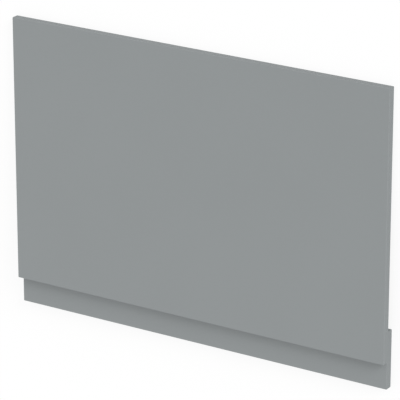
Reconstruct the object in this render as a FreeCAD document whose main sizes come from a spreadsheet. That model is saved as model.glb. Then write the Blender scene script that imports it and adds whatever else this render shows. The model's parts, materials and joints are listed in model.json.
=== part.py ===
import FreeCAD, Part
import Sketcher
import os

# Bath end panel: a flat front board with a plinth board screwed behind its lower edge.
# Both boards are drawn in one board frame: X along the width from the middle, Y up the face from the front
# board's lower edge, and Z out of the face, with Z = 0 where the two boards meet.
# The panel lies face up on a level floor. It rests on the upper back arrises of the plinth and of the front
# board, so the board frame leans by a small angle. The origin is on the floor, under the middle of the part.

# Driving sizes in millimetres, with the countersink's angle in degrees
SIZES = {
    "panel_width": 780,
    "panel_height": 508,
    "panel_thickness": 15,
    "plinth_thickness": 15,
    "plinth_drop": 52,
    "plinth_overlap": 58,
    "plinth_end_inset": 1,
    "arris_radius": 1,
    "screw_count": 4,
    "screw_end_distance": 60,
    "clearance_hole_diameter": 4,
    "countersink_diameter": 8,
    "countersink_angle": 90,
    "pilot_hole_diameter": 2.5,
    "pilot_hole_cover": 4,
}

# Sizes that follow from the driving ones, down to where the leaning board frame stands on the floor
FOLLOWING = {
    "plinth_width": "panel_width - 2 * plinth_end_inset",
    "plinth_height": "plinth_drop + plinth_overlap",
    "screw_row_height": "plinth_overlap / 2",
    "screw_row_length": "plinth_width - 2 * screw_end_distance",
    "first_screw": "screw_row_length / 2",
    "pilot_hole_depth": "panel_thickness - pilot_hole_cover",
    "lean": "atan(plinth_thickness / (panel_height - plinth_overlap))",
    "top_reach": "(panel_height - arris_radius) * cos(lean) + (panel_thickness - arris_radius) * sin(lean)",
    "foot_reach": "(plinth_drop - arris_radius) * cos(lean) + (plinth_thickness - arris_radius) * sin(lean)",
    "shift": "(foot_reach - top_reach) / 2",
    "lift": "arris_radius + (plinth_overlap - arris_radius) * sin(lean)"
            " + (plinth_thickness - arris_radius) * cos(lean)",
}

doc = FreeCAD.newDocument("bath_panel")
sheet = doc.addObject("Spreadsheet::Sheet", "sizes")
for row, (alias, value) in enumerate(SIZES.items(), start=1):
    sheet.set(f"A{row}", str(value))
    sheet.setAlias(f"A{row}", alias)
for row, (alias, formula) in enumerate(FOLLOWING.items(), start=len(SIZES) + 1):
    sheet.set(f"A{row}", "=" + formula)
    sheet.setAlias(f"A{row}", alias)
doc.recompute()


def cell(alias):
    """The expression that reads one cell of the sheet."""
    return f"<<{sheet.Label}>>.{alias}"


def meeting_plane_sketch(body, name):
    """An empty sketch on the plane where the two boards meet."""
    sketch = body.newObject("Sketcher::SketchObject", name)
    plane = next(feature for feature in body.Origin.OriginFeatures if feature.Role == "XY_Plane")
    sketch.AttachmentSupport = [(plane, "")]
    sketch.MapMode = "FlatFace"
    return sketch


def dimension(sketch, kind, name, alias, *points):
    """Adds a named dimension to a sketch and ties it to one cell of the sheet."""
    index = sketch.addConstraint(Sketcher.Constraint(kind, *points, getattr(sheet, alias)))
    sketch.renameConstraint(index, name)
    sketch.setExpression(f"Constraints.{name}", cell(alias))


# How a sketch numbers the ends of a line and the middle of a circle, and its own axes and origin
LINE_START, LINE_END, CIRCLE_MIDDLE = range(1, 4)
LEVEL_AXIS, UPRIGHT_AXIS = range(-1, -3, -1)
ORIGIN = (LEVEL_AXIS, LINE_START)


def board(label, width, height, top, thickness, behind):
    """A rectangular board with eased arrises, in front of the meeting plane or behind it."""
    body = doc.addObject("PartDesign::Body", label)
    body.Label = label
    place = f"vector(0; {cell('shift')}; {cell('lift')})"
    turn = f"rotation(vector(1; 0; 0); -{cell('lean')})"
    body.setExpression("Placement", f"placement({place}; {turn})")

    outline = meeting_plane_sketch(body, label + "_outline")
    half = getattr(sheet, width) / 2
    high = getattr(sheet, top)
    low = high - getattr(sheet, height)
    corners = [FreeCAD.Vector(x, y, 0) for x, y in ((-half, low), (half, low), (half, high), (-half, high))]
    foot, right, head, left = range(len(corners))
    for corner, next_corner in zip(corners, corners[1:] + corners[:1]):
        outline.addGeometry(Part.LineSegment(corner, next_corner), False)
    for side, next_side in ((foot, right), (right, head), (head, left), (left, foot)):
        outline.addConstraint(Sketcher.Constraint("Coincident", side, LINE_END, next_side, LINE_START))
    outline.addConstraint(Sketcher.Constraint("Horizontal", head))
    outline.addConstraint(Sketcher.Constraint("Vertical", right))
    outline.addConstraint(Sketcher.Constraint("Vertical", left))
    outline.addConstraint(
        Sketcher.Constraint("Symmetric", foot, LINE_START, foot, LINE_END, UPRIGHT_AXIS))
    dimension(outline, "DistanceX", "width", width, foot, LINE_START, foot, LINE_END)
    dimension(outline, "DistanceY", "height", height, right, LINE_START, right, LINE_END)
    dimension(outline, "DistanceY", "top", top, *ORIGIN, right, LINE_END)

    blank = body.newObject("PartDesign::Pad", label + "_blank")
    blank.Profile = outline
    blank.setExpression("Length", cell(thickness))
    blank.Reversed = behind
    doc.recompute()
    arrises = body.newObject("PartDesign::Fillet", label + "_arrises")
    arrises.Base = (blank, [""])
    arrises.UseAllEdges = True
    arrises.setExpression("Radius", cell("arris_radius"))
    doc.recompute()
    return body


def first_hole(body, name, diameter, start_depth=None):
    """The first hole of the screw row, drilled towards the face from a depth behind the meeting plane."""
    spot = meeting_plane_sketch(body, name + "_spot")
    if start_depth:
        spot.setExpression("AttachmentOffset.Base.z", "-" + cell(start_depth))
    middle = FreeCAD.Vector(-sheet.first_screw, sheet.screw_row_height, 0)
    circle = spot.addGeometry(
        Part.Circle(middle, FreeCAD.Vector(0, 0, 1), getattr(sheet, diameter) / 2), False)
    dimension(spot, "Diameter", "diameter", diameter, circle)
    dimension(spot, "DistanceX", "along", "first_screw", circle, CIRCLE_MIDDLE, *ORIGIN)
    dimension(spot, "DistanceY", "up", "screw_row_height", *ORIGIN, circle, CIRCLE_MIDDLE)
    doc.recompute()
    hole = body.newObject("PartDesign::Hole", name)
    hole.Profile = spot
    hole.Reversed = True
    hole.setExpression("Diameter", cell(diameter))
    doc.recompute()
    return hole


def hole_row(body, hole):
    """Repeats the first hole along the screw row, and makes the drilled board the body's result."""
    doc.recompute()
    holes = body.newObject("PartDesign::LinearPattern", hole.Label + "_row")
    holes.Originals = [hole]
    holes.Direction = (hole.Profile[0], ["H_Axis"])
    holes.setExpression("Length", cell("screw_row_length"))
    holes.setExpression("Occurrences", cell("screw_count"))
    body.Tip = holes
    doc.recompute()
    return holes


# Front board: the face that shows, with blind pilot holes in its back for the plinth's screws
front_panel = board("front_panel", "panel_width", "panel_height", "panel_height", "panel_thickness", False)
pilot_hole = first_hole(front_panel, "pilot_hole", "pilot_hole_diameter")
pilot_hole.DepthType = "Dimension"
pilot_hole.DrillForDepth = True
pilot_hole.setExpression("Depth", cell("pilot_hole_depth"))
pilot_holes = hole_row(front_panel, pilot_hole)

# Plinth: a narrow board set back behind the front board, with screw holes countersunk from its own back
plinth = board("plinth", "plinth_width", "plinth_height", "plinth_overlap", "plinth_thickness", True)
screw_hole = first_hole(plinth, "screw_hole", "clearance_hole_diameter", "plinth_thickness")
screw_hole.DepthType = "ThroughAll"
screw_hole.HoleCutType = "Countersink"
screw_hole.setExpression("HoleCutDiameter", cell("countersink_diameter"))
screw_hole.setExpression("HoleCutCountersinkAngle", cell("countersink_angle"))
screw_holes = hole_row(plinth, screw_hole)

# Every feature has to hold, each board has to be one sound solid, and every hole has to cut as the first does
faults = [item.Label for item in doc.Objects if {"Invalid", "Error"} & set(item.State)]
for body in (front_panel, plinth):
    if body.Shape.isNull() or not body.Shape.isValid() or len(body.Shape.Solids) != 1:
        faults.append(body.Label + " is not one sound solid")
VOLUME_TOLERANCE = 0.01
for hole, holes in ((pilot_hole, pilot_holes), (screw_hole, screw_holes)):
    first_cut = hole.BaseFeature.Shape.Volume - hole.Shape.Volume
    all_cuts = hole.BaseFeature.Shape.Volume - holes.Shape.Volume
    if first_cut <= 0 or abs(all_cuts - sheet.screw_count * first_cut) > VOLUME_TOLERANCE * first_cut:
        faults.append(holes.Label + " does not cut as it should")
if faults:
    raise RuntimeError(", ".join(faults))

os.makedirs("parts", exist_ok=True)
for body in (front_panel, plinth):
    body.Shape.exportStep(f"parts/{body.Label}.step")
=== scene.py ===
import json
import math

import bmesh
import bpy
import numpy as np
from mathutils import Matrix, Vector


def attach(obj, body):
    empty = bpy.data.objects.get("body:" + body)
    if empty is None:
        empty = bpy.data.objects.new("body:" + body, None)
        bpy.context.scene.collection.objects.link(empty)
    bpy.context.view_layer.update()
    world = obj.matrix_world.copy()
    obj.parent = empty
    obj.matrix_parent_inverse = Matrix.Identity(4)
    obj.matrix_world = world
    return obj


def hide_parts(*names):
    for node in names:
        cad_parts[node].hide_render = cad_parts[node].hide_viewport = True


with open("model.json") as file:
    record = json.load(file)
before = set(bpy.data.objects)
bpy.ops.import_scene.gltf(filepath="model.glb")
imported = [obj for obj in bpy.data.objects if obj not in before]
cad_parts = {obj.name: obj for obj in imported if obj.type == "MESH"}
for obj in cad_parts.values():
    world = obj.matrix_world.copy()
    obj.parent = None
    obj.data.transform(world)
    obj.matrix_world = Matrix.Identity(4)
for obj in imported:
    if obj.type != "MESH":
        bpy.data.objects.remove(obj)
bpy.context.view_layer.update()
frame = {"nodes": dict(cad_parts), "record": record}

# Front board: the large board whose grey face closes the end of a bath. It is medium-density fibreboard,
# sawn to size, with its arrises eased by sanding and a satin lacquer sprayed over its faces and edges.
# Blind pilot holes are drilled into its back, along its lower edge, for the screws that hold the plinth.

ARRIS_RADIUS = 0.001
ARRIS_STEPS = 4
ROUND_PROFILE = 0.5
SHARP_ANGLE = math.radians(35)

# The part lies with a small lean, so each board is drawn along its own axes and then leant
mounts = {mount["name"]: mount for mount in frame["record"]["mounts"]}
across = Vector((1, 0, 0))
out_of_face = -Vector(mounts["panel_back"]["axis"]).normalized()
up_the_face = out_of_face.cross(across)
lean = Matrix((across, up_the_face, out_of_face)).transposed().to_4x4()


def board_corners(node):
    """The lowest and the highest corner of a packed board, along its own axes."""
    straighten = lean.inverted()
    points = [straighten @ vertex.co for vertex in frame["nodes"][node].data.vertices]
    return Vector(np.min(points, axis=0)), Vector(np.max(points, axis=0))


def placed(name, shape):
    """A new object that holds a finished shape."""
    mesh = bpy.data.meshes.new(name)
    shape.to_mesh(mesh)
    shape.free()
    thing = bpy.data.objects.new(name, mesh)
    bpy.context.scene.collection.objects.link(thing)
    return thing


def board_blank(name, low, high):
    """A board with rounded arrises. Its sawn_edge attribute goes from 0 on the faces to 1 on the edges."""
    shape = bmesh.new()
    bmesh.ops.create_cube(shape, size=1, matrix=Matrix.LocRotScale((low + high) / 2, None, high - low))
    bmesh.ops.bevel(
        shape, geom=shape.edges, offset=ARRIS_RADIUS, offset_type="OFFSET", segments=ARRIS_STEPS,
        profile=ROUND_PROFILE, affect="EDGES")
    sawn_edge = shape.verts.layers.float.new("sawn_edge")
    for vertex in shape.verts:
        depth = min(vertex.co.z - low.z, high.z - vertex.co.z)
        vertex[sawn_edge] = min(depth / ARRIS_RADIUS, 1)
    return placed(name, shape)


panel_low, panel_high = board_corners("front_panel")
front_board = board_blank("front_board", panel_low, panel_high)

# Its lacquer is smooth, with a faint drift of tone, fine droplets and a little orange peel. The sawn edges
# drink more of it, so they are more matt, with some fibre showing through.
BOARD_SLOT = "satin_grey_board"
LACQUER_DRIFT = {"Scale": 5, "Detail": 2}
LACQUER_DROPLETS = {"Scale": 600, "Detail": 1}
LACQUER_PEEL = {"Scale": 280, "Detail": 1}
LACQUER_FIBRE = {"Scale": 1200, "Detail": 3}
LACQUER_DRIFT_SHARE = 0.5
LACQUER_TONE_SPREAD = 0.05
LACQUER_ROUGHNESS = 0.40
LACQUER_ROUGHNESS_SPREAD = 0.10
LACQUER_EDGE_ROUGHNESS = 0.4
LACQUER_RELIEF = 0.00008
MOTTLE_MIDDLE = 0.5


class Socket:
    """An output of a node in a tree. Sums, differences and products of such outputs add Math nodes."""

    def __init__(self, tree, output=None):
        self.tree = tree
        self.output = output

    def node(self, kind, settings, sockets, output=None):
        """Adds a node, its settings first and then its inputs' values or links, and gives an output."""
        made = self.tree.nodes.new(kind)
        for name, value in settings.items():
            setattr(made, name, value)
        inputs = {socket.identifier: socket for socket in made.inputs}
        for name, value in sockets.items():
            if isinstance(value, Socket):
                self.tree.links.new(value.output, inputs[name])
            else:
                inputs[name].default_value = value
        outputs = {socket.identifier: socket for socket in made.outputs}
        return Socket(self.tree, outputs.get(output or next(iter(outputs), None)))

    def math(self, operation, first, second):
        """Adds a Math node that works on two values or outputs."""
        return self.node("ShaderNodeMath", {"operation": operation}, {"Value": first, "Value_001": second})

    def __add__(self, other):
        return self.math("ADD", self, other)

    def __sub__(self, other):
        return self.math("SUBTRACT", self, other)

    def __rsub__(self, other):
        return self.math("SUBTRACT", other, self)

    def __mul__(self, other):
        return self.math("MULTIPLY", self, other)

    __radd__ = __add__
    __rmul__ = __mul__


def new_finish(name):
    """An empty material, with a start for the nodes of its tree."""
    material = bpy.data.materials.new(name)
    material.use_nodes = True
    material.node_tree.nodes.clear()
    return material, Socket(material.node_tree)


def mottle(start, grain):
    """Noise from 0 to 1 over a piece. The grain's scale counts its features in a metre."""
    place = start.node("ShaderNodeTexCoord", {}, {}, "Object")
    return start.node("ShaderNodeTexNoise", {}, {"Vector": place, **grain})


def varied(value, spread, pattern):
    """A value that follows a pattern, half of the spread below it and half above."""
    return value + spread * (pattern - MOTTLE_MIDDLE)


def shaded(colour, factor):
    """A colour made darker or lighter."""
    return (*(factor * value for value in colour[:3]), 1.0)


def toned(start, colour, spread, pattern):
    """A colour that follows a pattern, from darker by the spread to lighter by it."""
    sockets = {
        "Factor_Float": pattern,
        "A_Color": shaded(colour, 1 - spread),
        "B_Color": shaded(colour, 1 + spread),
    }
    return start.node("ShaderNodeMix", {"data_type": "RGBA"}, sockets, "Result_Color")


def surfaced(start, sockets):
    """Ends a finish in its shader."""
    surface = start.node("ShaderNodeBsdfPrincipled", {}, sockets)
    start.node("ShaderNodeOutputMaterial", {}, {"Surface": surface})


slots = {slot["slot"]: slot for slot in frame["record"]["materials"]}
satin_lacquer, start = new_finish("satin_grey_lacquer")
edge = start.node("ShaderNodeAttribute", {"attribute_name": "sawn_edge"}, {}, "Fac")
drift = mottle(start, LACQUER_DRIFT)
droplets = mottle(start, LACQUER_DROPLETS)
peel = mottle(start, LACQUER_PEEL)
fibre = mottle(start, LACQUER_FIBRE)
cloud = LACQUER_DRIFT_SHARE * drift + (1 - LACQUER_DRIFT_SHARE) * droplets
gloss = varied(LACQUER_ROUGHNESS, LACQUER_ROUGHNESS_SPREAD, drift) + LACQUER_EDGE_ROUGHNESS * (edge * fibre)
relief = start.node(
    "ShaderNodeBump", {}, {"Distance": LACQUER_RELIEF, "Height": peel * (1 - edge) + fibre * edge})
surfaced(start, {
    "Base Color": toned(start, slots[BOARD_SLOT]["base_color"], LACQUER_TONE_SPREAD, cloud),
    "Roughness": gloss,
    "Normal": relief,
})
front_board.data.materials.append(satin_lacquer)

# Its pilot holes are drilled through the lacquer, so bare brown fibreboard shows in them
SCREW_COUNT = 4
SCREW_END_DISTANCE = 0.060
PILOT_DIAMETER = 0.0025
PILOT_DEPTH = 0.011
DRILL_POINT_ANGLE = math.radians(118)
DRILL_OVERRUN = 0.001
BORE_SIDES = 32
TIP_RADIUS = 0.0001
BARE_BROWN = (0.36, 0.24, 0.14)
BARE_FIBRE = {"Scale": 2500, "Detail": 3}
BARE_TONE_SPREAD = 0.2
BARE_ROUGHNESS = 0.85

bare_fibreboard, start = new_finish("bare_fibreboard")
fibre = mottle(start, BARE_FIBRE)
surfaced(start, {
    "Base Color": toned(start, BARE_BROWN, BARE_TONE_SPREAD, fibre),
    "Roughness": BARE_ROUGHNESS,
})


def turned(name, heights, radius_at, sides):
    """A closed round shape along Z, whose radius follows the height and the angle."""
    shape = bmesh.new()
    angles = [math.tau * side / sides for side in range(sides)]
    rings = []
    for height in heights:
        radii = [radius_at(height, angle) for angle in angles]
        rings.append([
            shape.verts.new((radius * math.cos(angle), radius * math.sin(angle), height))
            for radius, angle in zip(radii, angles)])
    for lower, upper in zip(rings, rings[1:]):
        for side in range(sides):
            shape.faces.new((lower[side - 1], lower[side], upper[side], upper[side - 1]))
    shape.faces.new(reversed(rings[0]))
    shape.faces.new(rings[-1])
    return placed(name, shape)


def settled(thing):
    """Turns what an object's modifiers make into its plain mesh."""
    depsgraph = bpy.context.evaluated_depsgraph_get()
    mesh = bpy.data.meshes.new_from_object(
        thing.evaluated_get(depsgraph), preserve_all_data_layers=True, depsgraph=depsgraph)
    thing.modifiers.clear()
    thing.data = mesh


# Copies of one piece in a straight row, each with a turn of its own about its axis
ROW_INPUTS = {
    "Piece": "NodeSocketGeometry",
    "Count": "NodeSocketInt",
    "First Place": "NodeSocketVector",
    "Step": "NodeSocketVector",
    "Largest Turn": "NodeSocketFloat",
    "Finish": "NodeSocketMaterial",
}
ROW_SEED = 7

row_tree = bpy.data.node_groups.new("screw_row", "GeometryNodeTree")
row_sockets = {
    name: row_tree.interface.new_socket(name, in_out="INPUT", socket_type=kind).identifier
    for name, kind in ROW_INPUTS.items()}
row_result = row_tree.interface.new_socket(
    "Row", in_out="OUTPUT", socket_type="NodeSocketGeometry").identifier
start = Socket(row_tree)
given = {name: start.node("NodeGroupInput", {}, {}, row_sockets[name]) for name in ROW_INPUTS}
places = start.node(
    "GeometryNodeMeshLine", {"mode": "OFFSET"},
    {"Count": given["Count"], "Start Location": given["First Place"], "Offset": given["Step"]})
turn = start.node(
    "FunctionNodeRandomValue", {"data_type": "FLOAT"},
    {"Max_001": given["Largest Turn"], "Seed": ROW_SEED}, "Value_001")
copies = start.node("GeometryNodeInstanceOnPoints", {}, {
    "Points": places,
    "Instance": given["Piece"],
    "Rotation": start.node("ShaderNodeCombineXYZ", {}, {"Z": turn}),
})
pieces = start.node("GeometryNodeRealizeInstances", {}, {"Geometry": copies})
row = start.node("GeometryNodeSetMaterial", {}, {"Geometry": pieces, "Material": given["Finish"]})
start.node("NodeGroupOutput", {}, {row_result: row})

plinth_low, plinth_high = board_corners("plinth")
screw_row_height = (panel_low.y + plinth_high.y) / 2
screw_row_length = plinth_high.x - plinth_low.x - 2 * SCREW_END_DISTANCE


def screw_row(piece, finish, depth, largest_turn=0.0):
    """Repeats a piece along the screws' row, with its own zero at a depth along the boards' thickness."""
    modifier = piece.modifiers.new("row", "NODES")
    modifier.node_group = row_tree
    values = {
        "Count": SCREW_COUNT,
        "First Place": (-screw_row_length / 2, screw_row_height, depth),
        "Step": (screw_row_length / (SCREW_COUNT - 1), 0.0, 0.0),
        "Largest Turn": largest_turn,
        "Finish": finish,
    }
    for name, value in values.items():
        modifier[row_sockets[name]] = value
    settled(piece)


def drilled(board, heights, radii, depth):
    """Cuts the screws' row of round holes into a board, their heights counted from a depth in the boards."""
    holes = turned("holes", heights, lambda height, angle: np.interp(height, heights, radii), BORE_SIDES)
    screw_row(holes, bare_fibreboard, depth)
    drill = board.modifiers.new("drill", "BOOLEAN")
    drill.object = holes
    drill.solver = "EXACT"
    drill.material_mode = "TRANSFER"
    settled(board)
    bpy.data.objects.remove(holes)


def laid(board):
    """Leans a drilled board as it lies, and shades its arrises round and its faces flat."""
    board.data.transform(lean)
    board.data.shade_smooth()
    board.data.set_sharp_from_angle(angle=SHARP_ANGLE)
    shading = board.modifiers.new("shading", "WEIGHTED_NORMAL")
    shading.keep_sharp = True
    settled(board)


pilot_point = PILOT_DIAMETER / 2 / math.tan(DRILL_POINT_ANGLE / 2)
pilot_heights = (-DRILL_OVERRUN, PILOT_DEPTH - pilot_point, PILOT_DEPTH)
pilot_radii = (PILOT_DIAMETER / 2, PILOT_DIAMETER / 2, TIP_RADIUS)
drilled(front_board, pilot_heights, pilot_radii, panel_low.z)
laid(front_board)
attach(front_board, "root")
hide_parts("front_panel")

# Plinth: a narrow board of the same lacquered fibreboard, which stands on the floor when the panel is
# fitted. It lies behind the front board's lower edge and reaches below it. Its screw holes are drilled
# through and countersunk from its own back.

CLEARANCE_DIAMETER = 0.004
COUNTERSINK_DIAMETER = 0.008
COUNTERSINK_ANGLE = math.radians(90)

plinth_board = board_blank("plinth_board", plinth_low, plinth_high)
plinth_board.data.materials.append(satin_lacquer)
countersink_slope = math.tan(COUNTERSINK_ANGLE / 2)
countersink_depth = (COUNTERSINK_DIAMETER - CLEARANCE_DIAMETER) / 2 / countersink_slope
countersink_mouth = COUNTERSINK_DIAMETER / 2 + DRILL_OVERRUN * countersink_slope
plinth_thickness = plinth_high.z - plinth_low.z
bore_heights = (-DRILL_OVERRUN, countersink_depth, plinth_thickness + DRILL_OVERRUN)
bore_radii = (countersink_mouth, CLEARANCE_DIAMETER / 2, CLEARANCE_DIAMETER / 2)
drilled(plinth_board, bore_heights, bore_radii, plinth_low.z)
laid(plinth_board)
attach(plinth_board, "root")
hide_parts("plinth")

# Screws: countersunk wood screws of plated steel, driven through the plinth's back into the front board
# until their heads are flush. Each has a punched cross recess, which ends up at its own angle, and a thread
# rolled onto its shank.

SCREW_SLOT = "plated_screw"
SCREW_LENGTH = 0.025
SCREW_SIDES = 20
HEAD_DIAMETER = 0.0074
HEAD_RIM = 0.00025
SHANK_DIAMETER = 0.0023
POINT_LENGTH = 0.004
THREAD_START = 0.0035
THREAD_PITCH = 0.0016
THREAD_HEIGHT = 0.0006
THREAD_SHARE = 2 / 3
THREAD_STEPS = 8
RECESS_ARMS = 4
RECESS_SPAN = 0.0042
RECESS_WIDTH = 0.0010
RECESS_DEPTH = 0.0018
RECESS_TAPER = 0.55
PLATING_MARKS = {"Scale": 1800, "Detail": 2}
PLATING_TONE_SPREAD = 0.08
PLATING_ROUGHNESS = 0.28
PLATING_ROUGHNESS_SPREAD = 0.12

head_depth = HEAD_RIM + (HEAD_DIAMETER - SHANK_DIAMETER) / 2 / countersink_slope
point_start = SCREW_LENGTH - POINT_LENGTH
shank_heights = (0, HEAD_RIM, head_depth, point_start, SCREW_LENGTH)
shank_radii = (HEAD_DIAMETER / 2, HEAD_DIAMETER / 2, SHANK_DIAMETER / 2, SHANK_DIAMETER / 2, TIP_RADIUS)
thread_heights = (head_depth, THREAD_START, point_start, SCREW_LENGTH)
thread_reach = (0, THREAD_HEIGHT, THREAD_HEIGHT, 0)


def screw_radius(height, angle):
    """The screw's turned shape with its thread, a ridge that winds once round in each pitch."""
    off_crest = abs((height / THREAD_PITCH - angle / math.tau) % 1 - 1 / 2)
    ridge = max(0, 1 - off_crest / (THREAD_SHARE / 2))
    thread = ridge * np.interp(height, thread_heights, thread_reach)
    return np.interp(height, shank_heights, shank_radii) + thread


def cross_recess(name):
    """The tapered cross that a driver fits, from above the head's top down to the recess's depth."""
    shape = bmesh.new()
    side = RECESS_WIDTH / 2
    layers = []
    for height, share in ((-RECESS_DEPTH / 2, 1 + (1 - RECESS_TAPER) / 2), (RECESS_DEPTH, RECESS_TAPER)):
        reach = share * RECESS_SPAN / 2
        layers.append([
            shape.verts.new((*(Matrix.Rotation(arm * math.tau / RECESS_ARMS, 2) @ Vector(corner)), height))
            for arm in range(RECESS_ARMS)
            for corner in ((side, -side), (reach, -side), (reach, side))])
    upper, lower = layers
    for index in range(len(upper)):
        shape.faces.new((upper[index - 1], upper[index], lower[index], lower[index - 1]))
    shape.faces.new(reversed(upper))
    shape.faces.new(lower)
    return placed(name, shape)


# Their plating is bright and a little yellow, with fine marks of the rolling and the driver
plated_steel, start = new_finish("plated_steel")
marks = mottle(start, PLATING_MARKS)
surfaced(start, {
    "Base Color": toned(start, slots[SCREW_SLOT]["base_color"], PLATING_TONE_SPREAD, marks),
    "Metallic": 1.0,
    "Roughness": varied(PLATING_ROUGHNESS, PLATING_ROUGHNESS_SPREAD, marks),
})

thread_rings = round((SCREW_LENGTH - head_depth) / THREAD_PITCH * THREAD_STEPS)
ring_heights = [0, HEAD_RIM, *np.linspace(head_depth, SCREW_LENGTH, thread_rings + 1)]
screws = turned("plinth_screws", ring_heights, screw_radius, SCREW_SIDES)
recess = cross_recess("recess")
punch = screws.modifiers.new("recess", "BOOLEAN")
punch.object = recess
punch.solver = "EXACT"

# The heads are a little smaller than the countersinks, so they seat just under the plinth's back
head_sink = (COUNTERSINK_DIAMETER - HEAD_DIAMETER) / 2 / countersink_slope - HEAD_RIM
screw_row(screws, plated_steel, plinth_low.z + head_sink, largest_turn=math.tau / RECESS_ARMS)
bpy.data.objects.remove(recess)
screws.data.transform(lean)
screws.data.shade_smooth()
screws.data.set_sharp_from_angle(angle=SHARP_ANGLE)
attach(screws, "root")

# Studio: a plain white floor under an even white sky, as in a light tent, and one broad soft lamp, low
# beyond the top right corner of the face and kept out of its reflections. The camera and the reflections
# see the floor and the sky as white, and the floor keeps a faint shadow of the part.

WHITE = (1.0, 1.0, 1.0, 1.0)
FLOOR_SIZE = 12
FLOOR_BOUNCE = 0.45
FLOOR_GLOW = 0.85
SKY_LEVEL = 0.742
LAMP_LEVEL = 1.40
LAMP_SPREAD = math.radians(27)
LAMP_ELEVATION = math.radians(18)
LAMP_SIDE = math.radians(50)

shape = bmesh.new()
bmesh.ops.create_grid(shape, x_segments=1, y_segments=1, size=FLOOR_SIZE / 2)
floor = placed("floor", shape)


def seen(start):
    """1 for the camera and for reflections, and 0 for the light that falls on things."""
    camera_ray, glossy_ray, transmission_ray = (
        start.node("ShaderNodeLightPath", {}, {}, ray)
        for ray in ("Is Camera Ray", "Is Glossy Ray", "Is Transmission Ray"))
    return start.math("MAXIMUM", start.math("MAXIMUM", camera_ray, glossy_ray), transmission_ray)


# Most of the floor's white is a glow. The rest follows the light, and makes it full white in the open.
white_floor, start = new_finish("white_floor")
bounce = start.node("ShaderNodeBsdfDiffuse", {}, {"Color": shaded(WHITE, FLOOR_BOUNCE)})
glow = start.node("ShaderNodeEmission", {}, {"Color": WHITE, "Strength": FLOOR_GLOW})
open_light = SKY_LEVEL + LAMP_LEVEL * math.sin(LAMP_ELEVATION) / math.pi
shadowed = start.node("ShaderNodeBsdfDiffuse", {}, {"Color": shaded(WHITE, (1 - FLOOR_GLOW) / open_light)})
shown = start.node("ShaderNodeAddShader", {}, {"Shader": glow, "Shader_001": shadowed})
surface = start.node("ShaderNodeMixShader", {}, {"Fac": seen(start), "Shader": bounce, "Shader_001": shown})
start.node("ShaderNodeOutputMaterial", {}, {"Surface": surface})
floor.data.materials.append(white_floor)

world = bpy.data.worlds.new("light_tent")
world.use_nodes = True
world.node_tree.nodes.clear()
start = Socket(world.node_tree)
sky_strength = SKY_LEVEL + (1 - SKY_LEVEL) * seen(start)
sky = start.node("ShaderNodeBackground", {}, {"Color": WHITE, "Strength": sky_strength})
start.node("ShaderNodeOutputWorld", {}, {"Surface": sky})
bpy.context.scene.world = world

lamp_light = bpy.data.lights.new("soft_lamp", "SUN")
lamp_light.energy = LAMP_LEVEL
lamp_light.angle = LAMP_SPREAD
lamp = bpy.data.objects.new("soft_lamp", lamp_light)
lamp_tilt = Matrix.Rotation(LAMP_ELEVATION - math.pi / 2, 4, "X")
lamp.matrix_world = Matrix.Rotation(-LAMP_SIDE, 4, "Z") @ lamp_tilt
lamp.visible_glossy = False
bpy.context.scene.collection.objects.link(lamp)
bpy.context.scene.view_settings.view_transform = "Standard"

# Camera: it looks down on the face from its right and from beyond its top edge. It starts square to the
# face, is raised and turned about the point that it aims at, and keeps the top edge upwards in the picture.

CAMERA_LENS = 266
CAMERA_SENSOR = 36
CAMERA_DISTANCE = 5.258
CAMERA_TURN = math.radians(32.155)
CAMERA_RISE = math.radians(20.326)
AIM_ACROSS = 0.0123
AIM_UP = 0.2335

lens = bpy.data.cameras.new("camera")
lens.lens = CAMERA_LENS
lens.sensor_width = CAMERA_SENSOR
camera = bpy.data.objects.new("camera", lens)
bpy.context.scene.collection.objects.link(camera)
aim = Vector((AIM_ACROSS, panel_low.y + AIM_UP, panel_high.z))
camera.matrix_world = (
    lean
    @ Matrix.Translation(aim)
    @ Matrix.Rotation(CAMERA_TURN, 4, "Y")
    @ Matrix.Rotation(-CAMERA_RISE, 4, "X")
    @ Matrix.Translation((0, 0, CAMERA_DISTANCE)))
bpy.context.scene.camera = camera
